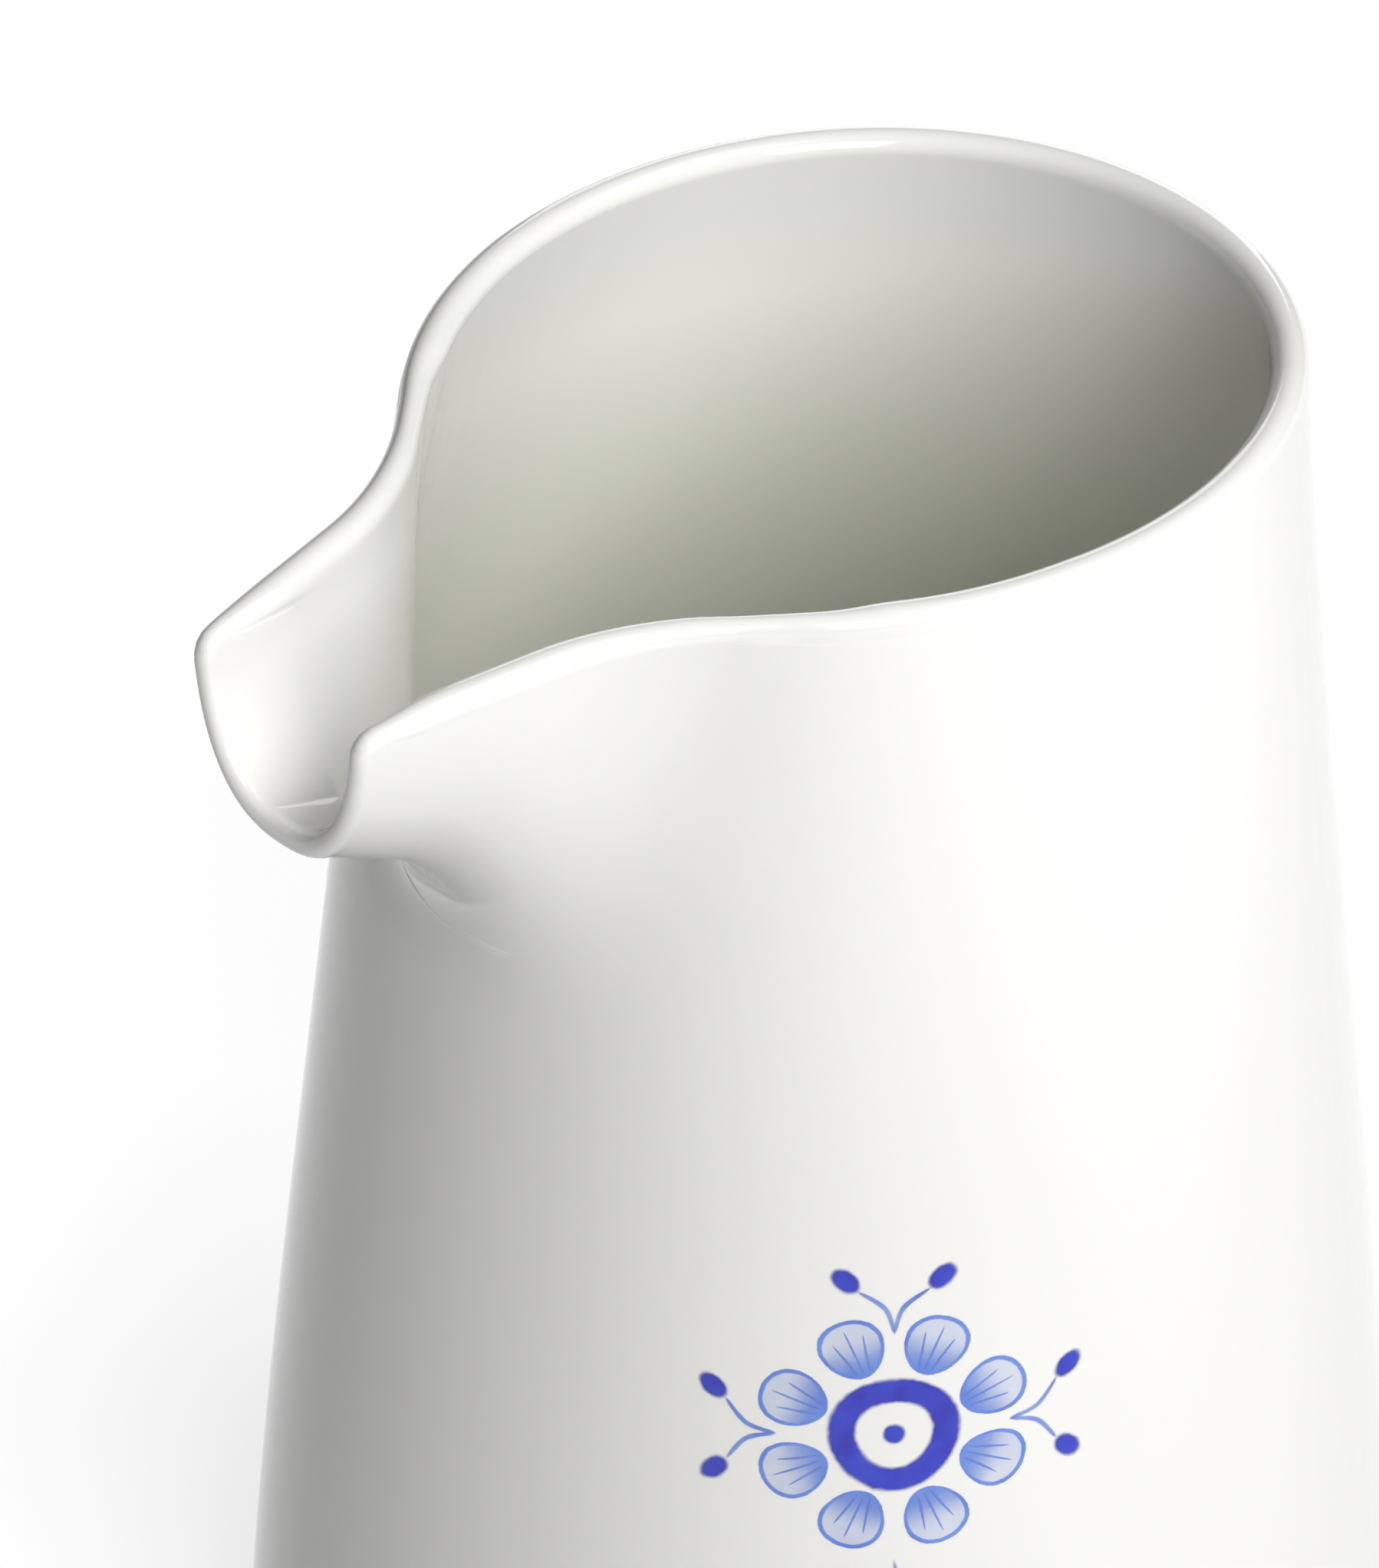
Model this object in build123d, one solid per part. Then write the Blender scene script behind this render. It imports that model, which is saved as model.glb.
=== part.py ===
from build123d import *
import math
import os

os.makedirs("parts", exist_ok=True)

# A porcelain cream jug without a handle, in millimetres. The foot's centre is the origin,
# +Z is up and the spout points along -Y. Bearings are turned from the spout towards +X,
# a drop is measured down from the rim and a reach out from the body's axis.

# Body
height = 125.0
rim_radius = 30.9
rim_slope = 0.062
rim_flare = 0.00103
belly_settle = 0.0000058
wall_thickness = 2.5
squeeze_depth = 44.0
side_squeeze = 1.42
back_pull = 1.19
rim_round_width = 0.95
rim_round_depth = 1.25
hollow_rise = 0.6

# Foot and floor
foot_radius = 35.0
foot_ring_width = 4.0
foot_ring_height = 2.6
foot_turn_in = 0.35
floor_thickness = 4.0
floor_inset = 8.0
belly_height = 15.0

# Spout
spout_throw = 18.9
tip_half_width = 8.0
spout_taper = 0.198
root_bearing = 57.0
root_inset = 0.9
throat_offset = 4.6
throat_flare = 0.029
throat_curve = 11.5
tip_depth = 13.6
keel_slope = 0.53
keel_offset = 12.1
keel_flare = 0.07
keel_fullness = 2.4
keel_thickness = 2.9
cheek_thickness = 2.5
lip_dip = 1.5
tip_thinning = 0.4
tip_allowance = 3.0

# Slip pressed along the joint between spout and body
seam_width = 1.1
seam_proud = 0.5

# Cobalt flower under the glaze
paint_thickness = 0.1
brush_reach = 12.0
brush_gap = 0.4
flower_bearing = 52.0
flower_drop = 60.3
dot_radius = 0.9
ring_radius = 4.6
ring_width = 2.2
petal_count = 8
petal_length = 4.8
petal_width = 5.0
stem_width = 0.9
stem_length = 19.0
stem_sway = 0.9
leaf_length = 8.0
leaf_width = 3.2
leaf_drop = 9.0
leaf_lift = 35.0
twig_width = 0.5
twig_length = 2.8
twig_rise = 2.4
bud_length = 2.6
bud_width = 1.7
bud_tilt = 45.0

belly_drop = height - belly_height
floor_top = foot_ring_height + floor_thickness
floor_radius = foot_radius - floor_inset
spout_reach = rim_radius + spout_throw
throat_reach = rim_radius + throat_offset
keel_reach = rim_radius + keel_offset


def wall_radius(drop):
    """The turned body's outer radius."""
    return rim_radius + rim_slope * drop + rim_flare * drop**2 - belly_settle * drop**3


def wall_turn(drop):
    """How fast that radius grows with the drop."""
    return rim_slope + 2 * rim_flare * drop - 3 * belly_settle * drop**2


def body_radius(bearing, drop):
    """The same radius with the mouth squeezed at the sides and drawn out at the back."""
    fade = max(0, 1 - drop / squeeze_depth) ** 2
    pull = side_squeeze * (math.cos(2 * bearing) - 1) - back_pull * math.cos(bearing)
    return wall_radius(drop) + fade * pull


def mouth_wire(drop, outset):
    points = []
    for step in range(36):
        bearing = math.pi + math.tau * step / 36
        radius = body_radius(bearing, drop) + outset
        points.append(Vector(radius * math.sin(bearing), -radius * math.cos(bearing), height - drop))
    return Wire([Edge.make_spline(points, periodic=True)])


def body_loft(outset):
    """The body from below the rounding of its rim down to where it turns in to the foot."""
    shares = [(step / 9) ** 1.2 for step in range(10)]
    drops = [rim_round_depth + (belly_drop - rim_round_depth) * share for share in shares]
    return Solid.make_loft([mouth_wire(drop, outset) for drop in drops])


def rim_loft(outset, rounding):
    """The rounding of the rim, which leans in at the top, or out past it for the hollow."""
    turns = [math.pi / 6 * step for step in range(4)]
    bands = [
        (rim_round_depth * (1 - math.sin(turn)), rounding * (1 - math.cos(turn))) for turn in turns
    ]
    if rounding < 0:
        bands.append((-hollow_rise, 2 * rounding))
    return Solid.make_loft([mouth_wire(drop, outset - lean) for drop, lean in bands], ruled=True)


# The spout's root lies just inside the mouth's outline, where its flare runs into the wall
root_turn = math.radians(root_bearing)
root_reach = body_radius(root_turn, 0) * math.cos(root_turn)
root_half_width = body_radius(root_turn, 0) * math.sin(root_turn) - root_inset
throat_half_width = (
    tip_half_width + spout_taper * (spout_reach - root_reach) + throat_flare * throat_curve**2
)
throat_spread = (root_half_width - throat_half_width) / (throat_reach - root_reach - throat_curve)


def half_width(reach):
    flare = max(0, throat_reach - reach)
    beyond = max(0, flare - throat_curve)
    taper = spout_taper * (spout_reach - reach)
    return tip_half_width + taper + throat_flare * (flare - beyond) ** 2 + throat_spread * beyond


def keel_depth(reach):
    flare = max(0, keel_reach - reach)
    return tip_depth + keel_slope * (spout_reach - reach) + keel_flare * flare**2


def lip_level(reach):
    return height - lip_dip * ((reach - root_reach) / (spout_reach - root_reach)) ** 2


def trough_wire(reach, cheek_inset, keel_inset, rounding):
    """An upright U across the spout, closed over the top."""
    inset_share = 1 - tip_thinning * max(0, reach - keel_reach) / (spout_reach - keel_reach)
    half = half_width(reach) - cheek_inset * inset_share
    top = lip_level(reach)
    shoulder = top - rim_round_depth
    deep = shoulder - (height - keel_depth(reach) + keel_inset * inset_share)
    down, out = Vector(0, 0, -1), Vector(1, 0, 0)
    bowl = []
    for step in range(13):
        turn = math.pi * step / 12
        across = math.copysign(abs(math.cos(turn)) ** (2 / keel_fullness), math.cos(turn))
        fall = math.sin(turn) ** (2 / keel_fullness)
        bowl.append(Vector(half * across, -reach, shoulder - deep * fall))
    crest = Vector(half - rounding, -reach, top)
    if rounding > 0:
        lead = Edge.make_spline([crest, bowl[0]], tangents=[out, down])
    else:
        above = Vector(half - 2 * rounding, -reach, top + hollow_rise)
        lead = Edge.make_spline([above, crest, bowl[0]])
    tail = lead.mirror(Plane.YZ)
    keel = Edge.make_spline(bowl, tangents=[down, -down])
    return Wire([lead, keel, tail, Edge.make_line(tail @ 0, lead @ 0)])


def trough(cheek_inset, keel_inset, rounding):
    shares = [(step / 10) ** 1.2 for step in range(11)]
    reaches = [root_reach + (spout_reach + tip_allowance - root_reach) * share for share in shares]
    return Solid.make_loft([trough_wire(reach, cheek_inset, keel_inset, rounding) for reach in reaches])


# Body wall: the turned and squeezed shell with its rounded rim, notched for the spout
body_blank = body_loft(0)
rim_blank = rim_loft(0, rim_round_width)
wall = body_blank - body_loft(-wall_thickness)
wall += rim_blank - rim_loft(-wall_thickness, -rim_round_width)
spout_blank = trough(0, 0, rim_round_width)
spout_hollow = trough(cheek_thickness, keel_thickness, -rim_round_width)
body_wall = wall - spout_hollow

# Pouring spout: a trough luted onto the wall, its end cut upright
spout_trim = Box(
    2 * spout_reach, spout_reach, 2 * height, align=(Align.CENTER, Align.MAX, Align.CENTER)
)
pouring_spout = (spout_blank & spout_trim) - body_blank - rim_blank - spout_hollow

# Slip seam: the low bead that fills the corner under and beside the spout
collar = trough(-seam_width, -seam_width, rim_round_width)
spout_seam = ((body_loft(seam_proud) - body_blank) & collar) - spout_blank

# Base: the wall turns in to a flat floor
wall_foot = wall_radius(belly_drop)
wall_end = Vector(wall_foot, 0, belly_height)
wall_inner_end = Vector(wall_foot - wall_thickness, 0, belly_height)
foot_edge = Vector(foot_radius, 0, foot_ring_height)
foot_middle = Vector(0, 0, foot_ring_height)
floor_middle = Vector(0, 0, floor_top)
floor_edge = Vector(floor_radius, 0, floor_top)
wall_run = Vector(wall_turn(belly_drop), 0, -1)
base_section = Wire(
    [
        Edge.make_spline([wall_end, foot_edge], tangents=[wall_run, Vector(-1, 0, -foot_turn_in)]),
        Edge.make_line(foot_edge, foot_middle),
        Edge.make_line(foot_middle, floor_middle),
        Edge.make_line(floor_middle, floor_edge),
        Edge.make_spline([floor_edge, wall_inner_end], tangents=[Vector(1, 0, 0), -wall_run]),
        Edge.make_line(wall_inner_end, wall_end),
    ]
)
base_bowl = revolve(Face(base_section), axis=Axis.Z)

# Foot ring: bare biscuit, and all that the jug stands on
foot_ring_mark = Circle(foot_radius) - Circle(foot_radius - foot_ring_width)
foot_ring = extrude(foot_ring_mark, amount=foot_ring_height)

# Cobalt flower: flat brush marks wrapped on the wall as a very thin layer
paint_layer = body_loft(paint_thickness) - body_blank
flower_turn = math.radians(flower_bearing)
outward = Vector(math.sin(flower_turn), -math.cos(flower_turn), 0)
flower_plane = Plane(
    origin=outward * wall_radius(flower_drop) + Vector(0, 0, height - flower_drop),
    x_dir=(math.cos(flower_turn), math.sin(flower_turn), 0),
    z_dir=outward,
)


def brushed(marks):
    """The marks, drawn flat on the flower's plane, pressed onto the wall."""
    return extrude(flower_plane * marks, amount=brush_reach, both=True) & paint_layer


# A dot in a heavy ring, and petals around it with gaps at the top, the sides and the bottom
flower_centre = brushed(Circle(dot_radius) + (Circle(ring_radius) - Circle(ring_radius - ring_width)))
petal_middle = ring_radius + brush_gap + petal_length / 2
petal_tip = petal_middle + petal_length / 2
petal_pitch = 360 / petal_count
petal = Pos(petal_middle, 0) * Ellipse(petal_length / 2, petal_width / 2)
petals = [Rot(0, 0, petal_pitch * (place + 0.5)) * petal for place in range(petal_count)]
petal_wash = brushed(Sketch() + petals)

# A swaying stem with two leaves
stem_top = -petal_tip - brush_gap
stem_line = Spline(
    (0, stem_top), (stem_sway, stem_top - stem_length / 2), (-stem_sway, stem_top - stem_length)
)
stem_stroke = brushed(trace(stem_line, stem_width))
leaf_middle = leaf_length / 2 + stem_width + brush_gap
leaf = Rot(0, 0, leaf_lift) * Pos(leaf_middle, 0) * Ellipse(leaf_length / 2, leaf_width / 2)
leaf_place = Pos(stem_sway, stem_top - leaf_drop)
leaf_pair = brushed(leaf_place * (leaf + mirror(leaf, about=Plane.YZ)))

# Twigs fork at the top and the sides of the flower and end in buds
twig_line = Spline((0, 0), (twig_length / 2, twig_rise / 4), (twig_length, twig_rise))
twig = trace(twig_line, twig_width)
bud_lead = Rot(0, 0, bud_tilt) * Pos(bud_length / 2 + brush_gap, 0)
bud = Pos(twig_length, twig_rise) * bud_lead * Ellipse(bud_length / 2, bud_width / 2)
twigs = Sketch()
buds = Sketch()
for turn in (0, 90, 180):
    fork = Rot(0, 0, turn) * Pos(petal_middle + petal_length / 4, 0)
    twigs += fork * (twig + mirror(twig, about=Plane.XZ))
    buds += fork * (bud + mirror(bud, about=Plane.XZ))
bud_twigs = brushed(twigs)
twig_buds = brushed(buds)

nodes = {
    "body_wall": body_wall,
    "base_bowl": base_bowl,
    "foot_ring": foot_ring,
    "pouring_spout": pouring_spout,
    "spout_seam": spout_seam,
    "petal_wash": petal_wash,
    "flower_centre": flower_centre,
    "stem_stroke": stem_stroke,
    "leaf_pair": leaf_pair,
    "bud_twigs": bud_twigs,
    "twig_buds": twig_buds,
}
for name, node in nodes.items():
    export_step(node, f"parts/{name}.step")
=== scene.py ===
import bpy
import math
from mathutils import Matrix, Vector


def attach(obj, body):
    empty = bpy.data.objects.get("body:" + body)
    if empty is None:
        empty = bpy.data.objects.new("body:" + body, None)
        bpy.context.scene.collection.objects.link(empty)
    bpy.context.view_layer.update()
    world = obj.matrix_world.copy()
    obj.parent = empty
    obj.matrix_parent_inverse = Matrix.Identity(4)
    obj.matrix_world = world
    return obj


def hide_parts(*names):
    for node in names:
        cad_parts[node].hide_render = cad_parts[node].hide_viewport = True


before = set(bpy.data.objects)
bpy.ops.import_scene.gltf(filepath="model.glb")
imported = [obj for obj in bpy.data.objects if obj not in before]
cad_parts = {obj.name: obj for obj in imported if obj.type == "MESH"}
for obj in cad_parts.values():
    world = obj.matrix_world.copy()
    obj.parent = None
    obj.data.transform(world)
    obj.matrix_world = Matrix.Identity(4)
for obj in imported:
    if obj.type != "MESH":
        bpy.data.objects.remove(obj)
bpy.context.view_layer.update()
MM = 0.001

# The jug's sizes in millimetres. The foot's centre is the origin and the spout points along -Y.
# A bearing turns from the spout towards +X, and a drop is measured down from the rim's plane.
HEIGHT = 125.0
RIM_RADIUS = 30.9
RIM_SLOPE = 0.062
RIM_FLARE = 0.00103
BELLY_SETTLE = 0.0000058
WALL = 2.5
SQUEEZE_DEPTH = 44.0
SIDE_SQUEEZE = 1.42
BACK_PULL = 1.19
BELLY_DROP = 110.0
FOOT_RADIUS = 35.0
FOOT_WIDTH = 4.0
FOOT_HEIGHT = 2.6
FLOOR_LEVEL = 6.6
FLOOR_RADIUS = 27.0
FLOOR_RINGS = (20, 8, 0)

# Handles and steps of the curves that run in under the belly, outside to the foot and inside to the floor
BELLY_SWELL = 0.4
OUTER_HANG, INNER_HANG = 6, 5
FOOT_SPREAD, FOOT_RISE = 5.5, 1.6
FLOOR_SPREAD = 6
FOOT_CURVE_ROWS, FLOOR_CURVE_ROWS = 14, 12

SPOUT_REACH = 49.8
TIP_HALF_WIDTH = 8.0
SPOUT_TAPER = 0.198
THROAT_REACH = 35.5
THROAT_FLARE = 0.029
THROAT_STRAIGHT = 11.5
THROAT_SPREAD = 0.48
TIP_DEPTH = 13.6
KEEL_SLOPE = 0.53
KEEL_REACH = 43.0
KEEL_FLARE = 0.07
KEEL_FULLNESS = 2.4
KEEL_THICKNESS = 2.9
CHEEK_THICKNESS = 2.5
LIP_DIP = 1.5
LIP_DIP_START = 6.0
LIP_CORNER = 1.0
TIP_THINNING = 0.42
TIP_THIN_FROM = 42.0
THROAT_SOFTNESS = 2.6
ROOT_BEARING = 56.0
RIM_HALF = WALL / 2

# How softly the spout's walls run into the body's, outside by depth and inside by bearing
JOINT_SOFTNESS = 0.6
JOINT_SOFTNESS_GAIN = 3.4
JOINT_SOFT_FROM = 3.0
JOINT_SOFT_SPAN = 20.0
CREASE_SOFTNESS = 0.05
ROOT_FADE = 14.0

# Where the spout is looked for, and where the edge's back meets its cheeks
TROUGH_BEARING = math.radians(62)
TROUGH_NEAR, TROUGH_FAR = 8.0, 60.0
HALVINGS = 22
SIDE_BEARING = math.radians(80)


def smooth(value):
    value = min(1.0, max(0.0, value))
    return value * value * (3 - 2 * value)


def wall_radius(drop):
    return RIM_RADIUS + RIM_SLOPE * drop + RIM_FLARE * drop**2 - BELLY_SETTLE * drop**3


def turned_radius(bearing, drop):
    """The turned body, squeezed at the sides and drawn back near its mouth."""
    fade = max(0.0, 1 - drop / SQUEEZE_DEPTH) ** 2
    pull = SIDE_SQUEEZE * (math.cos(2 * bearing) - 1) - BACK_PULL * math.cos(bearing)
    return wall_radius(drop) + fade * pull


def half_width(reach):
    flare = max(0.0, THROAT_REACH - reach)
    straight = max(0.0, flare - THROAT_STRAIGHT)
    return (
        TIP_HALF_WIDTH
        + SPOUT_TAPER * (SPOUT_REACH - reach)
        + THROAT_FLARE * (flare - straight) ** 2
        + THROAT_SPREAD * straight
    )


def keel_depth(reach):
    return TIP_DEPTH + KEEL_SLOPE * (SPOUT_REACH - reach) + KEEL_FLARE * max(0.0, KEEL_REACH - reach) ** 2


def lip_drop(reach):
    return LIP_DIP * max(0.0, reach - LIP_DIP_START) / (SPOUT_REACH - LIP_DIP_START)


def thinned(reach, thickness):
    """The trough's wall, drawn thin towards its end."""
    return thickness * (1 - TIP_THINNING * smooth((reach - TIP_THIN_FROM) / (SPOUT_REACH - TIP_THIN_FROM)))


def trough_half(reach, drop, inside):
    """Half the trough's width at a drop, or 0 below its keel."""
    half = half_width(reach) - (thinned(reach, CHEEK_THICKNESS) if inside else 0.0)
    deep = keel_depth(reach) - (thinned(reach, KEEL_THICKNESS) if inside else 0.0)
    share = 1 - (drop / deep) ** KEEL_FULLNESS
    return half * share ** (1 / KEEL_FULLNESS) if share > 0 else 0.0


def trough_radius(bearing, drop, inside):
    """How far the trough's wall is from the turning axis on this bearing."""
    turn = abs(math.atan2(math.sin(bearing), math.cos(bearing)))
    if turn > TROUGH_BEARING:
        return 0.0
    spread = math.tan(turn)
    near, far = TROUGH_NEAR, TROUGH_FAR
    if near * spread > trough_half(near, drop, inside):
        return 0.0
    for _ in range(HALVINGS):
        middle = (near + far) / 2
        width = trough_half(middle, drop, inside)
        if width > 0 and middle * spread < width:
            near = middle
        else:
            far = middle
    return near / math.cos(turn)


def jug_radius(bearing, drop, inside):
    """The outer or inner wall, with the spout's joint smoothed over."""
    body = turned_radius(bearing, drop) - (WALL if inside else 0.0)
    trough = trough_radius(bearing, drop, inside)
    if trough <= 0:
        return body
    soft = JOINT_SOFTNESS + JOINT_SOFTNESS_GAIN * smooth((drop - JOINT_SOFT_FROM) / JOINT_SOFT_SPAN)
    if inside:
        turn = abs(math.degrees(math.atan2(math.sin(bearing), math.cos(bearing))))
        soft = CREASE_SOFTNESS + THROAT_SOFTNESS * smooth((ROOT_BEARING - turn) / ROOT_FADE)
    reach = max(0.0, soft - abs(body - trough)) / soft
    return max(body, trough) + reach * reach * soft / 4


def place(bearing, drop, radius):
    return Vector((radius * math.sin(bearing), -radius * math.cos(bearing), HEIGHT - drop))


def along(points, count):
    """The points of a broken line, spread again in equal steps."""
    lengths = [0.0]
    for first, second in zip(points, points[1:]):
        lengths.append(lengths[-1] + (second - first).length)
    spread, leg = [], 0
    for step in range(count + 1):
        wanted = lengths[-1] * step / count
        while leg < len(points) - 2 and lengths[leg + 1] < wanted:
            leg += 1
        span = lengths[leg + 1] - lengths[leg]
        share = (wanted - lengths[leg]) / span if span > 0 else 0.0
        spread.append(points[leg].lerp(points[leg + 1], share))
    return spread


BACK_STEPS, CHEEK_STEPS, LIP_STEPS = 70, 54, 34
HALF_STEPS = BACK_STEPS + CHEEK_STEPS + LIP_STEPS
STEPS = 2 * HALF_STEPS
BACK_SAMPLES, CHEEK_SAMPLES, CORNER_SAMPLES, KEEL_SAMPLES = 90, 240, 12, 80
OUTER_ROWS, INNER_ROWS, LIP_ROWS = 76, 60, 10
ROW_CROWDING = 1.25
SETTLING = 0.6


def rim_line(inside):
    """Half of the wall's edge, from the back, along a cheek, and down round the spout's end."""
    end = SPOUT_REACH - RIM_HALF
    top = RIM_HALF
    tip = end - LIP_CORNER
    drop = top + lip_drop(tip)
    tip_bearing = math.atan2(trough_half(tip, drop, inside), tip)
    back = []
    for step in range(BACK_SAMPLES + 1):
        bearing = math.pi + (SIDE_BEARING - math.pi) * step / BACK_SAMPLES
        back.append(place(bearing, top, jug_radius(bearing, top, inside)))
    cheek = []
    for step in range(CHEEK_SAMPLES + 1):
        share = 1 - (1 - step / CHEEK_SAMPLES) ** 2
        bearing = SIDE_BEARING + (tip_bearing - SIDE_BEARING) * share
        radius = jug_radius(bearing, top, inside)
        cheek.append(place(bearing, top + lip_drop(radius * math.cos(bearing)), radius))
    lip = []
    low = drop + LIP_CORNER
    for step in range(CORNER_SAMPLES + 1):
        turn = math.pi / 2 * step / CORNER_SAMPLES
        reach = tip + LIP_CORNER * math.sin(turn)
        level = drop + LIP_CORNER * (1 - math.cos(turn))
        lip.append(Vector((trough_half(reach, level, inside), -reach, HEIGHT - level)))
    deep = keel_depth(end) - (thinned(end, KEEL_THICKNESS) if inside else 0.0)
    start = math.asin(low / deep)
    for step in range(1, KEEL_SAMPLES + 1):
        turn = start + (math.pi / 2 - start) * step / KEEL_SAMPLES
        level = deep * math.sin(turn)
        lip.append(Vector((trough_half(end, level, inside), -end, HEIGHT - level)))
    lip[-1].x = 0.0
    return along(back, BACK_STEPS)[:-1] + along(cheek, CHEEK_STEPS)[:-1] + along(lip, LIP_STEPS)


def both_sides(half):
    """The whole edge: the half, then its mirror image back to the start."""
    return half + [Vector((-p.x, p.y, p.z)) for p in reversed(half[1:-1])]


def bearing_of(point):
    return math.atan2(point.x, -point.y)


def settled_bearing(index, edge):
    """The bearing that a line of the wall has once it is on the round body."""
    half = index if index <= HALF_STEPS else STEPS - index
    side = 1 if index <= HALF_STEPS else -1
    if half <= BACK_STEPS:
        return side * abs(bearing_of(edge))
    return side * SIDE_BEARING * (HALF_STEPS - half) / (CHEEK_STEPS + LIP_STEPS)


def wall_rows(edge, inside, rows):
    """Level by level, the wall from its edge to where the squeeze has died out, then to the belly."""
    sheet = []
    for row in range(1, rows + 1):
        share = (row / rows) ** ROW_CROWDING
        line = []
        for index, point in enumerate(edge):
            start = abs(bearing_of(point)) if index <= HALF_STEPS else -abs(bearing_of(point))
            settled = settled_bearing(index, point)
            bearing = start + (settled - start) * share**SETTLING
            edge_drop = HEIGHT - point.z
            drop = edge_drop + (SQUEEZE_DEPTH - edge_drop) * share
            line.append(place(bearing, drop, jug_radius(bearing, drop, inside)))
        sheet.append(line)
    for row in range(1, rows // 2 + 1):
        drop = SQUEEZE_DEPTH + (BELLY_DROP - SQUEEZE_DEPTH) * row / (rows // 2)
        sheet.append([
            place(settled_bearing(i, p), drop, wall_radius(drop) - (WALL if inside else 0.0))
            for i, p in enumerate(edge)
        ])
    return sheet


def turned_rows(edge, profile):
    return [
        [place(settled_bearing(i, p), HEIGHT - level, radius) for i, p in enumerate(edge)]
        for radius, level in profile
    ]


def curve_between(start, lead, arrive, end, count):
    """Points of a Bezier curve, without its first."""
    found = []
    for step in range(1, count + 1):
        t = step / count
        found.append(tuple(
            (1 - t) ** 3 * a + 3 * t * (1 - t) ** 2 * b + 3 * t * t * (1 - t) * c + t**3 * d
            for a, b, c, d in zip(start, lead, arrive, end)
        ))
    return found


def formed_grid(name, columns, rows, points, marks=None):
    """A flat grid of quads, bent so that each crossing lies at its given point.

    Marks are the pair of numbers that each crossing carries in the piece's UV map.
    """
    bpy.ops.object.select_all(action="DESELECT")
    bpy.ops.mesh.primitive_grid_add(x_subdivisions=columns, y_subdivisions=rows, size=2)
    piece = bpy.context.object
    piece.name = name
    piece.data.name = name
    crossings = [
        (round((v.co.x + 1) / 2 * columns), round((v.co.y + 1) / 2 * rows)) for v in piece.data.vertices
    ]
    for vertex, (column, row) in zip(piece.data.vertices, crossings):
        vertex.co = points[row][column] * MM
    if marks:
        layer = piece.data.uv_layers[0].data
        for loop in piece.data.loops:
            column, row = crossings[loop.vertex_index]
            layer[loop.index].uv = marks[row][column]
    return piece


def closed_up(piece, solid=True):
    """Welds the seam and the poles, and turns a solid's faces outwards."""
    bpy.ops.object.select_all(action="DESELECT")
    piece.select_set(True)
    bpy.context.view_layer.objects.active = piece
    bpy.ops.object.mode_set(mode="EDIT")
    bpy.ops.mesh.select_all(action="SELECT")
    bpy.ops.mesh.remove_doubles(threshold=0.000002)
    if solid:
        bpy.ops.mesh.normals_make_consistent(inside=False)
    bpy.ops.object.mode_set(mode="OBJECT")
    bpy.ops.object.shade_smooth()
    return piece


def jug_points():
    """The whole skin as rows: up the outside, over the edge, down the inside to the floor's middle."""
    outer_edge = both_sides(rim_line(False))
    inner_edge = both_sides(rim_line(True))
    outer = wall_rows(outer_edge, False, OUTER_ROWS)
    inner = wall_rows(inner_edge, True, INNER_ROWS)
    belly = wall_radius(BELLY_DROP)
    belly_level = HEIGHT - BELLY_DROP
    outer += turned_rows(outer_edge, curve_between(
        (belly, belly_level), (belly + BELLY_SWELL, belly_level - OUTER_HANG),
        (FOOT_RADIUS + FOOT_SPREAD, FOOT_HEIGHT + FOOT_RISE), (FOOT_RADIUS, FOOT_HEIGHT), FOOT_CURVE_ROWS))
    underside = (FOOT_RADIUS - FOOT_WIDTH, *FLOOR_RINGS)
    outer += turned_rows(outer_edge, [(radius, FOOT_HEIGHT) for radius in underside])
    bore = belly - WALL
    inner += turned_rows(inner_edge, curve_between(
        (bore, belly_level), (bore + BELLY_SWELL, belly_level - INNER_HANG),
        (FLOOR_RADIUS + FLOOR_SPREAD, FLOOR_LEVEL), (FLOOR_RADIUS, FLOOR_LEVEL), FLOOR_CURVE_ROWS))
    inner += turned_rows(inner_edge, [(radius, FLOOR_LEVEL) for radius in FLOOR_RINGS])
    lip = []
    for step in range(1, LIP_ROWS):
        turn = math.pi * step / LIP_ROWS
        row = []
        for index in range(STEPS):
            out, into = outer_edge[index], inner_edge[index]
            after = outer_edge[(index + 1) % STEPS] + inner_edge[(index + 1) % STEPS]
            before = outer_edge[index - 1] + inner_edge[index - 1]
            across = (out - into) / 2
            away = across.cross(after - before).normalized()
            if away.z < 0 or (abs(away.z) < 0.2 and away.y > 0):
                away = -away
            row.append((out + into) / 2 + across * math.cos(turn) + away * across.length * math.sin(turn))
        lip.append(row)
    sheet = list(reversed(outer)) + [outer_edge] + lip + [inner_edge] + inner
    return [row + [row[0]] for row in sheet]


sheet = jug_points()
jug = closed_up(formed_grid("porcelain_jug", STEPS, len(sheet) - 1, sheet))
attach(jug, "root")
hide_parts("body_wall", "base_bowl", "pouring_spout")

# Camera
VIEW_PLACE = (0.29576, -0.29399, 0.39687)
VIEW_FORWARD = Vector((-0.58520, 0.55441, -0.59175))
LENS = 174.68
bpy.ops.object.camera_add(location=VIEW_PLACE)
camera = bpy.context.object
camera.rotation_mode = "QUATERNION"
camera.rotation_quaternion = VIEW_FORWARD.to_track_quat("-Z", "Y")
camera.data.sensor_fit = "VERTICAL"
camera.data.sensor_height = 36
camera.data.lens = LENS
camera.data.clip_start = 0.01
bpy.context.scene.camera = camera

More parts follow.
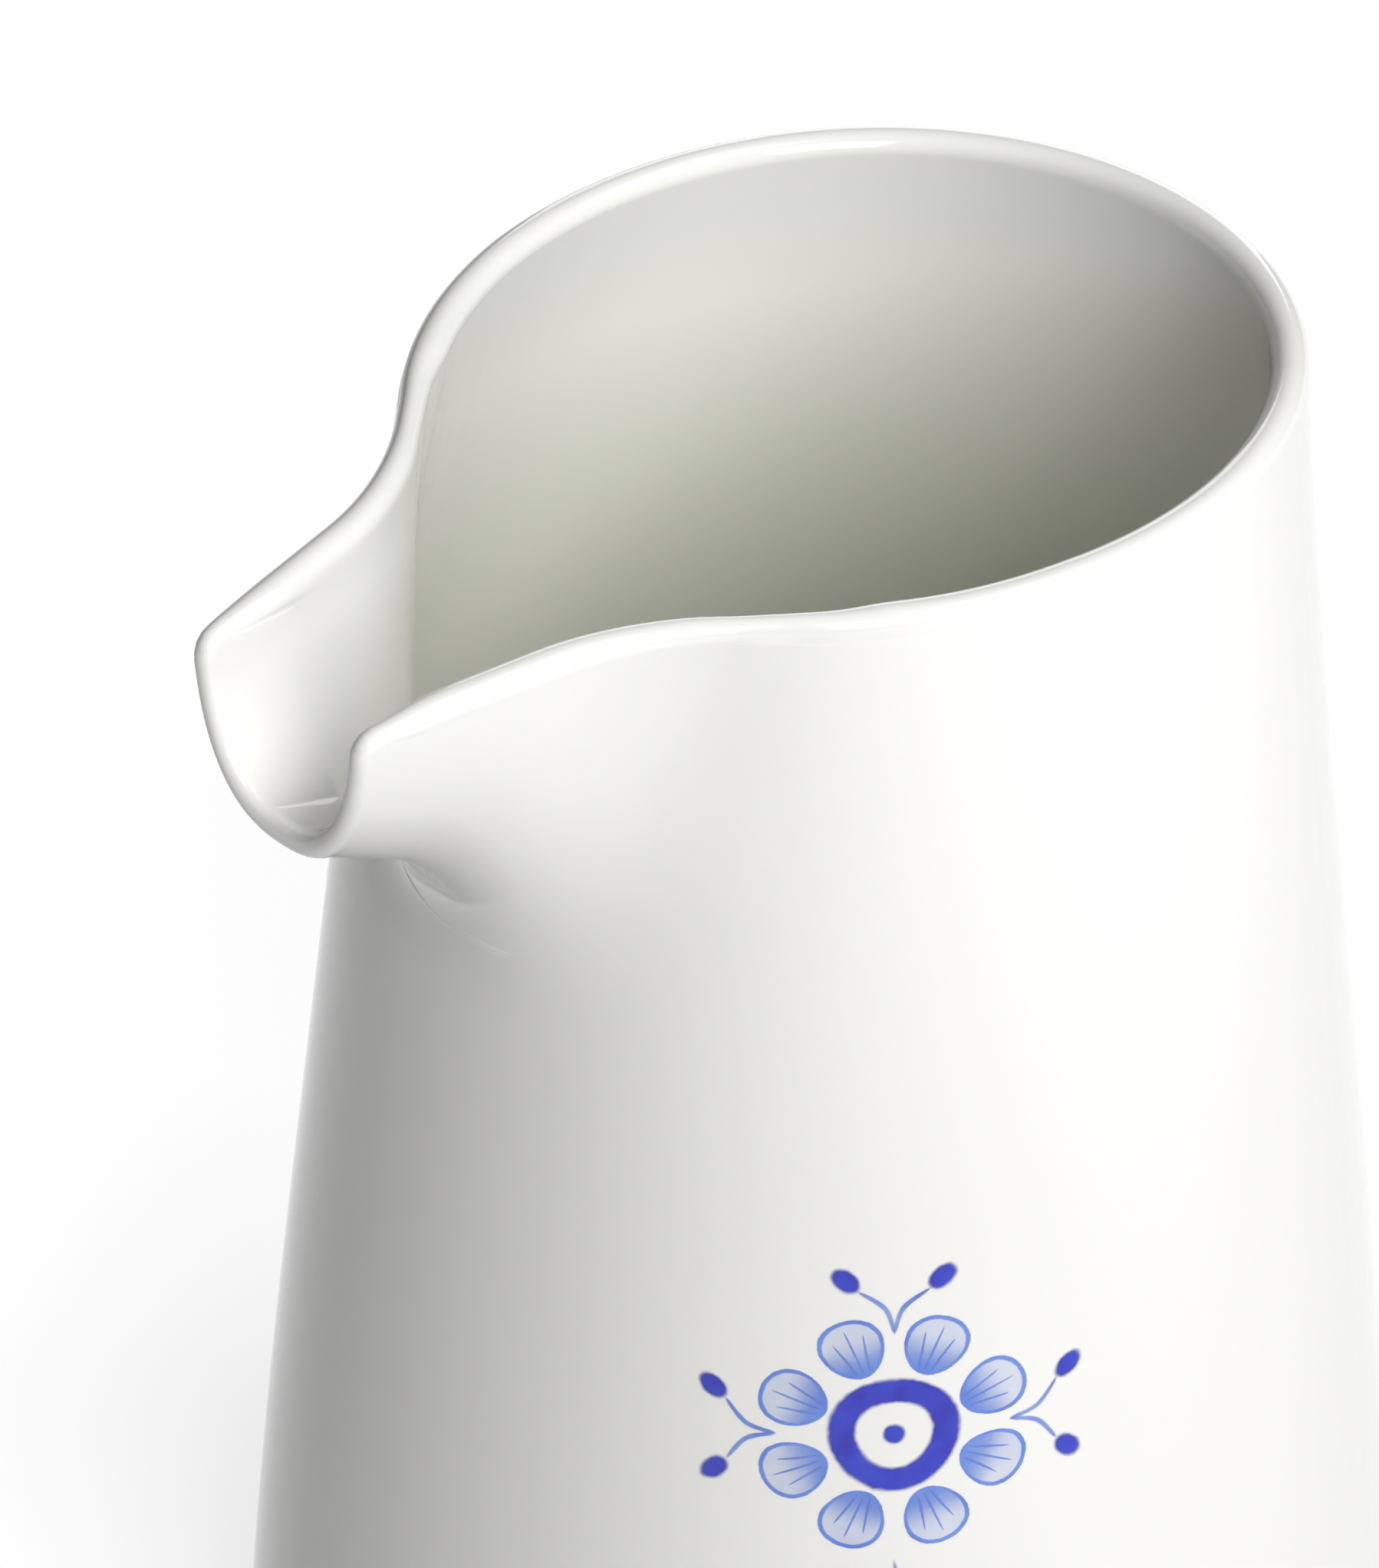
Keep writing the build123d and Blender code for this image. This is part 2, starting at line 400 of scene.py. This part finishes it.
# Floor and lights
PAPER_GREY = 0.4
PAPER_GLOW = 0.78
LAMP_DISTANCE = 1.1
LAMP_AIM = Vector((0, 0, 0.09))
AIR_STRENGTH = 0.02
bpy.ops.mesh.primitive_plane_add(size=6, location=(0, 0, 0))
floor = bpy.context.object
floor.name = "studio_floor"
paper = bpy.data.materials.new("studio_paper")
paper.use_nodes = True
paper_shader = paper.node_tree.nodes["Principled BSDF"]
paper_shader.inputs["Base Color"].default_value = (PAPER_GREY, PAPER_GREY, PAPER_GREY, 1)
paper_shader.inputs["Roughness"].default_value = 0.9
paper_shader.inputs["Specular IOR Level"].default_value = 0.0
paper_shader.inputs["Emission Color"].default_value = (1, 1, 1, 1)
seen = paper.node_tree.nodes.new("ShaderNodeLightPath")
seen_or_mirrored = paper.node_tree.nodes.new("ShaderNodeMath")
seen_or_mirrored.operation = "MAXIMUM"
paper.node_tree.links.new(seen.outputs["Is Camera Ray"], seen_or_mirrored.inputs[0])
paper.node_tree.links.new(seen.outputs["Is Glossy Ray"], seen_or_mirrored.inputs[1])
backlight = paper.node_tree.nodes.new("ShaderNodeMath")
backlight.operation = "MULTIPLY"
backlight.inputs[1].default_value = PAPER_GLOW
paper.node_tree.links.new(seen_or_mirrored.outputs[0], backlight.inputs[0])
paper.node_tree.links.new(backlight.outputs[0], paper_shader.inputs["Emission Strength"])
floor.data.materials.append(paper)


def softbox(name, bearing, rise, width, height, power):
    """A rectangular lamp that faces the jug's shoulder."""
    turn, lift = math.radians(bearing), math.radians(rise)
    away = Vector((math.sin(turn) * math.cos(lift), -math.cos(turn) * math.cos(lift), math.sin(lift)))
    bpy.ops.object.light_add(type="AREA", location=LAMP_AIM + away * LAMP_DISTANCE)
    lamp = bpy.context.object
    lamp.name = name
    lamp.rotation_mode = "QUATERNION"
    lamp.rotation_quaternion = (-away).to_track_quat("-Z", "Y")
    lamp.data.shape = "RECTANGLE"
    lamp.data.size = width
    lamp.data.size_y = height
    lamp.data.energy = power


softbox("key_softbox", 118, 44, 0.5, 0.5, 5.4)
softbox("side_softbox", 64, 32, 0.5, 0.7, 11.8)
softbox("high_softbox", 125, 60, 0.6, 0.6, 2.4)
softbox("back_softbox", 222, 12, 0.6, 0.6, 3.0)
world = bpy.data.worlds.new("studio_air")
bpy.context.scene.world = world
world.use_nodes = True
world.node_tree.nodes["Background"].inputs["Color"].default_value = (1, 1, 1, 1)
world.node_tree.nodes["Background"].inputs["Strength"].default_value = AIR_STRENGTH
bpy.context.scene.view_settings.view_transform = "Standard"


# Shader groups and materials
def new_group(name, inputs, outputs):
    """An empty node group with named number inputs and named outputs."""
    group = bpy.data.node_groups.new(name, "ShaderNodeTree")
    for label, value in inputs:
        socket = group.interface.new_socket(label, in_out="INPUT", socket_type="NodeSocketFloat")
        socket.default_value = value
    for label, kind in outputs:
        group.interface.new_socket(label, in_out="OUTPUT", socket_type=kind)
    return group, group.nodes.new("NodeGroupInput"), group.nodes.new("NodeGroupOutput")


def noise(tree, scale, detail, tall=1.0):
    """A noise texture in the piece's own coordinates, drawn out upwards where tall is under 1."""
    place_node = tree.nodes.new("ShaderNodeTexCoord")
    squash = tree.nodes.new("ShaderNodeVectorMath")
    squash.operation = "MULTIPLY"
    squash.inputs[1].default_value = (1, 1, tall)
    cloud = tree.nodes.new("ShaderNodeTexNoise")
    cloud.inputs["Scale"].default_value = scale
    cloud.inputs["Detail"].default_value = detail
    tree.links.new(place_node.outputs["Object"], squash.inputs[0])
    tree.links.new(squash.outputs[0], cloud.inputs["Vector"])
    return cloud.outputs["Fac"]


def reckon(tree, operation, first, second):
    """A Math node on two numbers or sockets."""
    node = tree.nodes.new("ShaderNodeMath")
    node.operation = operation
    for socket, value in zip(node.inputs, (first, second)):
        if isinstance(value, (int, float)):
            socket.default_value = value
        else:
            tree.links.new(value, socket)
    return node.outputs[0]


def ramp_between(tree, value, low, high, start=0.0, end=1.0):
    """A smooth step of a value from low to high."""
    node = tree.nodes.new("ShaderNodeMapRange")
    node.interpolation_type = "SMOOTHSTEP"
    for label, number in (("From Min", low), ("From Max", high), ("To Min", start), ("To Max", end)):
        if isinstance(number, (int, float)):
            node.inputs[label].default_value = number
        else:
            tree.links.new(number, node.inputs[label])
    tree.links.new(value, node.inputs["Value"])
    return node.outputs["Result"]


def glaze_ripple_group():
    """The slow unevenness of a fired glaze and the faint streaks that run down it, as a height."""
    amounts = [("Slow", 0.7), ("Fine", 0.3), ("Streaks", 0.35)]
    group, given, result = new_group("glaze_ripple", amounts, [("Height", "NodeSocketFloat")])
    slow = reckon(group, "MULTIPLY", noise(group, 55.0, 1.0), given.outputs["Slow"])
    fine = reckon(group, "MULTIPLY", noise(group, 420.0, 1.0), given.outputs["Fine"])
    streaked = reckon(group, "MULTIPLY", noise(group, 330.0, 1.0, tall=0.03), given.outputs["Streaks"])
    group.links.new(reckon(group, "ADD", reckon(group, "ADD", slow, fine), streaked), result.inputs["Height"])
    return group


def brushed_cobalt_group():
    """How dense a brush mark is: a soft edge, a darker rim line and a wash that varies."""
    group, given, result = new_group(
        "brushed_cobalt",
        [
            ("Edge Softness", 0.25),
            ("Wobble", 0.1),
            ("Line End", 0.2),
            ("Line", 0.6),
            ("Wash", 0.3),
            ("Root", 0.3),
        ],
        [("Density", "NodeSocketFloat"), ("Darkness", "NodeSocketFloat")],
    )
    uv = group.nodes.new("ShaderNodeUVMap")
    parts = group.nodes.new("ShaderNodeSeparateXYZ")
    group.links.new(uv.outputs["UV"], parts.inputs["Vector"])
    stir = reckon(group, "SUBTRACT", noise(group, 1500.0, 2.0), 0.5)
    edge = reckon(group, "ADD", parts.outputs["Y"], reckon(group, "MULTIPLY", stir, given.outputs["Wobble"]))
    inside = ramp_between(group, edge, 0.0, given.outputs["Edge Softness"])
    line_end = given.outputs["Line End"]
    line_gone = reckon(group, "MULTIPLY", line_end, 2.0)
    line_fade = ramp_between(group, edge, line_end, line_gone, 1.0, 0.0)
    line = reckon(group, "MULTIPLY", line_fade, given.outputs["Line"])
    cloud = noise(group, 420.0, 2.0)
    near_root = ramp_between(group, parts.outputs["X"], 0.0, 0.7, 1.0, 0.0)
    root = reckon(group, "MULTIPLY", near_root, given.outputs["Root"])
    clouded = reckon(group, "ADD", cloud, 0.5)
    wash = reckon(group, "ADD", reckon(group, "MULTIPLY", given.outputs["Wash"], clouded), root)
    film = reckon(group, "MAXIMUM", line, wash)
    density = reckon(group, "MINIMUM", reckon(group, "MULTIPLY", film, inside), 1.0)
    group.links.new(density, result.inputs["Density"])
    group.links.new(reckon(group, "MULTIPLY", cloud, film), result.inputs["Darkness"])
    return group


RIPPLE = glaze_ripple_group()
COBALT = brushed_cobalt_group()


def rippled(tree, shader, strength):
    height = tree.nodes.new("ShaderNodeGroup")
    height.node_tree = RIPPLE
    bump = tree.nodes.new("ShaderNodeBump")
    bump.inputs["Strength"].default_value = strength
    bump.inputs["Distance"].default_value = 0.0002
    tree.links.new(height.outputs["Height"], bump.inputs["Height"])
    tree.links.new(bump.outputs["Normal"], shader.inputs["Normal"])


def mixed(tree, share, first, second):
    node = tree.nodes.new("ShaderNodeMix")
    node.data_type = "RGBA"
    tree.links.new(share, node.inputs["Factor"])
    for label, colour in (("A", first), ("B", second)):
        if isinstance(colour, tuple):
            node.inputs[label].default_value = colour
        else:
            tree.links.new(colour, node.inputs[label])
    return node.outputs["Result"]


GLAZE_ROUGHNESS = 0.09
GLAZE_IOR = 1.5
GLAZE_RIPPLE = 0.2
INK_RIPPLE = 0.12
OUTSIDE_WHITE = (0.72, 0.715, 0.695, 1)
# Painted light: the inside is coloured paler and yellower than the outside, standing in for light bounced
# between the inner walls
INSIDE_BOUNCE_WHITE = (0.78, 0.785, 0.7, 1)
LIP_V = 0.56
INSIDE_V = LIP_V + 0.22
BISCUIT_DARK = (0.74, 0.71, 0.65, 1)
BISCUIT_LIGHT = (0.84, 0.81, 0.75, 1)


def clear_glaze():
    """White porcelain under a clear glaze, painted paler and yellower deep inside the jug as painted bounce
    light between its walls.
    """
    glaze = bpy.data.materials.new("clear_glaze")
    glaze.use_nodes = True
    tree = glaze.node_tree
    shader = tree.nodes["Principled BSDF"]
    shader.inputs["Roughness"].default_value = GLAZE_ROUGHNESS
    shader.inputs["IOR"].default_value = GLAZE_IOR
    uv = tree.nodes.new("ShaderNodeUVMap")
    parts = tree.nodes.new("ShaderNodeSeparateXYZ")
    tree.links.new(uv.outputs["UV"], parts.inputs["Vector"])
    # Painted bounce light, blended in from the lip down into the jug
    painted_bounce_share = ramp_between(tree, parts.outputs["Y"], LIP_V, INSIDE_V)
    white = mixed(tree, painted_bounce_share, OUTSIDE_WHITE, INSIDE_BOUNCE_WHITE)
    tree.links.new(white, shader.inputs["Base Color"])
    rippled(tree, shader, GLAZE_RIPPLE)
    return glaze


def bare_biscuit():
    biscuit = bpy.data.materials.new("bare_biscuit")
    biscuit.use_nodes = True
    tree = biscuit.node_tree
    shader = tree.nodes["Principled BSDF"]
    shader.inputs["Roughness"].default_value = 0.75
    grain = noise(tree, 1800.0, 3.0)
    tree.links.new(mixed(tree, grain, BISCUIT_DARK, BISCUIT_LIGHT), shader.inputs["Base Color"])
    bump = tree.nodes.new("ShaderNodeBump")
    bump.inputs["Strength"].default_value = 0.25
    bump.inputs["Distance"].default_value = 0.0001
    tree.links.new(grain, bump.inputs["Height"])
    tree.links.new(bump.outputs["Normal"], shader.inputs["Normal"])
    return biscuit


def cobalt_ink(name, thin, thick, **amounts):
    """Cobalt under the glaze: its film lets the porcelain show where it is thin."""
    ink = bpy.data.materials.new(name)
    ink.use_nodes = True
    tree = ink.node_tree
    shader = tree.nodes["Principled BSDF"]
    shader.inputs["Roughness"].default_value = GLAZE_ROUGHNESS
    shader.inputs["IOR"].default_value = GLAZE_IOR
    mark = tree.nodes.new("ShaderNodeGroup")
    mark.node_tree = COBALT
    for label, value in amounts.items():
        mark.inputs[label.replace("_", " ").title()].default_value = value
    tree.links.new(mixed(tree, mark.outputs["Darkness"], thin, thick), shader.inputs["Base Color"])
    tree.links.new(mark.outputs["Density"], shader.inputs["Alpha"])
    rippled(tree, shader, INK_RIPPLE)
    return ink


LIGHT_COBALT = (0.16, 0.3, 0.76, 1)
MID_COBALT = (0.035, 0.09, 0.55, 1)
FULL_COBALT = (0.018, 0.05, 0.54, 1)
DARK_COBALT = (0.012, 0.012, 0.36, 1)

jug.data.materials.append(clear_glaze())
petal_ink = cobalt_ink("petal_wash_cobalt", LIGHT_COBALT, MID_COBALT, edge_softness=0.06, wobble=0.05,
                       line_end=0.1, line=0.9, wash=0.2, root=0.65)
line_ink = cobalt_ink("line_cobalt", LIGHT_COBALT, MID_COBALT, edge_softness=0.7, wobble=0.25,
                      line_end=0.0, line=0.0, wash=0.75, root=0.0)
dark_ink = cobalt_ink("dark_cobalt", FULL_COBALT, DARK_COBALT, edge_softness=0.5, wobble=0.2,
                      line_end=0.2, line=0.8, wash=1.1, root=0.1)

# Foot ring
bpy.ops.object.select_all(action="DESELECT")
bpy.ops.mesh.primitive_circle_add(
    vertices=128, radius=FOOT_RADIUS * MM, fill_type="NOTHING", location=(0, 0, FOOT_HEIGHT * MM)
)
foot = bpy.context.object
foot.name = "foot_ring_biscuit"
bpy.ops.object.transform_apply(location=True)
bpy.ops.object.mode_set(mode="EDIT")
bpy.ops.mesh.select_all(action="SELECT")
# Each step goes inwards and down: the wall, its rounded edge, the standing face, and up the inside
FOOT_PROFILE = ((0.0, 1.8), (0.25, 0.55), (0.6, 0.25), (2.8, 0.0), (0.35, -0.3), (0.0, -2.3))
edge_radius = FOOT_RADIUS
for inward, down in FOOT_PROFILE:
    bpy.ops.mesh.extrude_region_move(TRANSFORM_OT_translate={"value": (0, 0, -down * MM)})
    shrink = 1 - inward / edge_radius
    bpy.ops.transform.resize(value=(shrink, shrink, 1), center_override=(0, 0, 0))
    edge_radius -= inward
bpy.ops.object.mode_set(mode="OBJECT")
closed_up(foot)
foot.data.materials.append(bare_biscuit())
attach(foot, "root")
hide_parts("foot_ring")

# Painted flower. Lifts are how far the sheets of paint lie off the wall.
WASH_LIFT, LINE_LIFT, DARK_LIFT = 0.02, 0.03, 0.045
BUD_LIFT = 0.04
STEM_WIDTH, TWIG_WIDTH, VEIN_WIDTH = 0.9, 0.5, 0.22
FLOWER_BEARING = math.radians(52.0)
FLOWER_DROP = 60.3
BRUSH_GAP = 0.4
DOT_RADIUS = 0.9
RING_RADIUS = 4.6
RING_WIDTH = 2.2
PETAL_COUNT = 8
PETAL_LENGTH = 4.8
PETAL_WIDTH = 5.3
PETAL_ROOT = RING_RADIUS + BRUSH_GAP / 2
PETAL_TIP = PETAL_ROOT + PETAL_LENGTH
STEM_LENGTH = 19.0
STEM_SWAY = 0.9
LEAF_LENGTH = 8.0
LEAF_WIDTH = 3.2
LEAF_DROP = 9.0
LEAF_LIFT = 35.0
TWIG_LENGTH = 2.8
TWIG_RISE = 2.4
BUD_LENGTH = 2.6
BUD_WIDTH = 1.8
BUD_TILT = 45.0
RING_WOBBLE = 0.1
LEAF_ROOT = 1.3
FORK_SHARE = 0.75
TWIG_ROOT = 0.6
BUD_OVERLAP = 0.15
LOOK_ALONG = 0.01


def on_wall(across, up, lift):
    """A point of the painting, measured from the flower's middle, laid on the wall."""
    drop = FLOWER_DROP - up
    bearing = FLOWER_BEARING + across / wall_radius(drop)
    return place(bearing, drop, jug_radius(bearing, drop, False) + lift)


def through(line, share, closed=False):
    """A point on a smooth line through the given points."""
    legs = len(line) - 1
    if closed:
        share %= 1
    leg = min(int(share * legs), legs - 1)
    t = share * legs - leg
    if closed:
        p = [line[(leg + step) % legs] for step in (-1, 0, 1, 2)]
    else:
        p = [line[max(0, min(legs, leg + step))] for step in (-1, 0, 1, 2)]
    return tuple(
        0.5 * (2 * b + (c - a) * t + (2 * a - 5 * b + 4 * c - d) * t * t + (3 * b - a - 3 * c + d) * t**3)
        for a, b, c, d in zip(*p)
    )


def stroke(name, line, width, lift, taper=0.35, closed=False):
    """One pull of the brush along a line, finer at its two ends."""
    columns, rows = max(12, 6 * len(line)), 4
    points, marks = [], []
    for row in range(rows + 1):
        side = 2 * row / rows - 1
        points.append([])
        marks.append([])
        for column in range(columns + 1):
            share = column / columns
            here = through(line, share, closed)
            if closed:
                ahead = through(line, share + LOOK_ALONG, True)
                behind = through(line, share - LOOK_ALONG, True)
            else:
                ahead = through(line, min(1, share + LOOK_ALONG))
                behind = through(line, max(0, share - LOOK_ALONG))
            run = (ahead[0] - behind[0], ahead[1] - behind[1])
            length = math.hypot(*run)
            body = 1.0 if closed else taper + (1 - taper) * math.sin(math.pi * share) ** 0.6
            reach = side * width / 2 * body
            across = here[0] - run[1] / length * reach
            up = here[1] + run[0] / length * reach
            points[row].append(on_wall(across, up, lift))
            end = 1.0 if closed else min(1.0, 6 * min(share, 1 - share) + 0.15)
            marks[row].append((share, (1 - abs(side)) * end))
    return formed_grid(name, columns, rows, points, marks)


def blot(name, middle, length, width, turn, lift, point=0.0):
    """A filled oval mark; its first end is the root. Point draws the root in."""
    columns, rows = 32, 7
    points, marks = [], []
    for row in range(rows + 1):
        size = row / rows
        points.append([])
        marks.append([])
        for column in range(columns + 1):
            angle = -math.tau * column / columns
            x, y = size * math.cos(angle), size * math.sin(angle)
            narrow = 1 - point * (1 - x) / 2
            dx, dy = x * length / 2, y * width / 2 * narrow
            points[row].append(on_wall(
                middle[0] + dx * math.cos(turn) - dy * math.sin(turn),
                middle[1] + dx * math.sin(turn) + dy * math.cos(turn), lift))
            marks[row].append(((x + 1) / 2, 1 - size))
    return formed_grid(name, columns, rows, points, marks)


def painted(name, marks, ink, slot, *nodes):
    """Joins brush marks into one piece of the painting."""
    bpy.ops.object.select_all(action="DESELECT")
    for mark in marks:
        mark.select_set(True)
    bpy.context.view_layer.objects.active = marks[0]
    if len(marks) > 1:
        bpy.ops.object.join()
    piece = bpy.context.view_layer.objects.active
    piece.name = name
    closed_up(piece, solid=False)
    piece.data.materials.append(ink)
    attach(piece, "root")
    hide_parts(*nodes)
    return piece


def polar(distance, degrees):
    turn = math.radians(degrees)
    return (distance * math.cos(turn), distance * math.sin(turn))


def turned(point, degrees):
    """A point of the painting, turned about the flower's middle."""
    turn = math.radians(degrees)
    return (
        point[0] * math.cos(turn) - point[1] * math.sin(turn),
        point[0] * math.sin(turn) + point[1] * math.cos(turn),
    )


petals, veins = [], []
for petal in range(PETAL_COUNT):
    degrees = 360 * (petal + 0.5) / PETAL_COUNT
    middle = polar(PETAL_ROOT + PETAL_LENGTH / 2, degrees)
    petals.append(blot("petal", middle, PETAL_LENGTH, PETAL_WIDTH, math.radians(degrees), WASH_LIFT, 0.3))
    for lean, far in ((-9, 0.7), (0, 0.84), (9, 0.7)):
        line = [
            polar(PETAL_ROOT + PETAL_LENGTH * share, degrees + lean * (0.5 + share / 2))
            for share in (0.1, far / 2, far)
        ]
        veins.append(stroke("vein", line, VEIN_WIDTH, LINE_LIFT, 0.2))
painted("petal_wash_paint", petals, petal_ink, "pale_cobalt_wash", "petal_wash")
painted("petal_vein_paint", veins, line_ink, "mid_cobalt")

ring_middle = RING_RADIUS - RING_WIDTH / 2
ring_line = [
    polar(ring_middle + RING_WOBBLE * math.sin(3 * math.radians(degrees)), degrees)
    for degrees in range(-90, 271, 15)
]
painted("flower_centre_paint", [
    stroke("ring", ring_line, RING_WIDTH, DARK_LIFT, closed=True),
    blot("dot", (0, 0), 2 * DOT_RADIUS, 2 * DOT_RADIUS, 0.3, DARK_LIFT),
], dark_ink, "dark_cobalt", "flower_centre")

# A bead of slip left along the joint under the spout
SEAM_FROM, SEAM_TO = -12.0, 9.0
SEAM_WIDTH = 0.8
SEAM_PROUD = 0.16
SEAM_SUNK = 0.03
SEAM_COLUMNS, SEAM_ROWS = 60, 6
JOINT_TOP, JOINT_BOTTOM = 12.0, 44.0
JOINT_HALVINGS = 24


def joint_drop(bearing):
    """How far down the spout's underside runs into the body."""
    high, low = JOINT_TOP, JOINT_BOTTOM
    for _ in range(JOINT_HALVINGS):
        middle = (high + low) / 2
        if trough_radius(bearing, middle, False) > turned_radius(bearing, middle):
            high = middle
        else:
            low = middle
    return high


seam_points, seam_marks = [], []
for row in range(SEAM_ROWS + 1):
    side = 2 * row / SEAM_ROWS - 1
    seam_points.append([])
    seam_marks.append([])
    for column in range(SEAM_COLUMNS + 1):
        share = column / SEAM_COLUMNS
        bearing = math.radians(SEAM_FROM + (SEAM_TO - SEAM_FROM) * share)
        swell = math.sin(math.pi * share) ** 0.5 * (0.75 + 0.25 * math.sin(9 * share + 1))
        drop = joint_drop(bearing) - side * SEAM_WIDTH * swell
        lift = SEAM_PROUD * swell * (1 - side * side) - SEAM_SUNK
        seam_points[row].append(place(bearing, drop, jug_radius(bearing, drop, False) + lift))
        seam_marks[row].append((share, 0.2))
seam = closed_up(
    formed_grid("spout_seam_bead", SEAM_COLUMNS, SEAM_ROWS, seam_points, seam_marks), solid=False
)
seam.data.materials.append(jug.data.materials[0])
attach(seam, "root")
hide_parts("spout_seam")

stem_top = -PETAL_TIP - BRUSH_GAP
stem_line = [
    (0, stem_top),
    (STEM_SWAY, stem_top - STEM_LENGTH / 2),
    (-STEM_SWAY, stem_top - STEM_LENGTH),
]
stem = stroke("stem", stem_line, STEM_WIDTH, LINE_LIFT)
painted("stem_paint", [stem], line_ink, "mid_cobalt", "stem_stroke")
leaves = []
for degrees in (LEAF_LIFT, 180 - LEAF_LIFT):
    reach = polar(LEAF_LENGTH / 2 + LEAF_ROOT, degrees)
    middle = (STEM_SWAY + reach[0], stem_top - LEAF_DROP + reach[1])
    leaves.append(blot("leaf", middle, LEAF_LENGTH, LEAF_WIDTH, math.radians(degrees), WASH_LIFT, 0.4))
painted("leaf_paint", leaves, petal_ink, "mid_cobalt", "leaf_pair")

twigs, buds = [], []
fork = PETAL_ROOT + PETAL_LENGTH * FORK_SHARE
bud_lead = polar(BUD_LENGTH / 2 - BUD_OVERLAP, BUD_TILT)
for degrees in (0, 90, 180):
    for side in (1, -1):
        line = [
            (fork - TWIG_ROOT, 0),
            (fork + TWIG_LENGTH / 2, side * TWIG_RISE / 4),
            (fork + TWIG_LENGTH, side * TWIG_RISE),
        ]
        twigs.append(stroke("twig", [turned(point, degrees) for point in line], TWIG_WIDTH, LINE_LIFT))
        middle = (fork + TWIG_LENGTH + bud_lead[0], side * (TWIG_RISE + bud_lead[1]))
        turn = math.radians(degrees + side * BUD_TILT)
        buds.append(blot("bud", turned(middle, degrees), BUD_LENGTH, BUD_WIDTH, turn, BUD_LIFT))
painted("bud_twig_paint", twigs, line_ink, "mid_cobalt", "bud_twigs")
painted("bud_paint", buds, dark_ink, "dark_cobalt", "twig_buds")
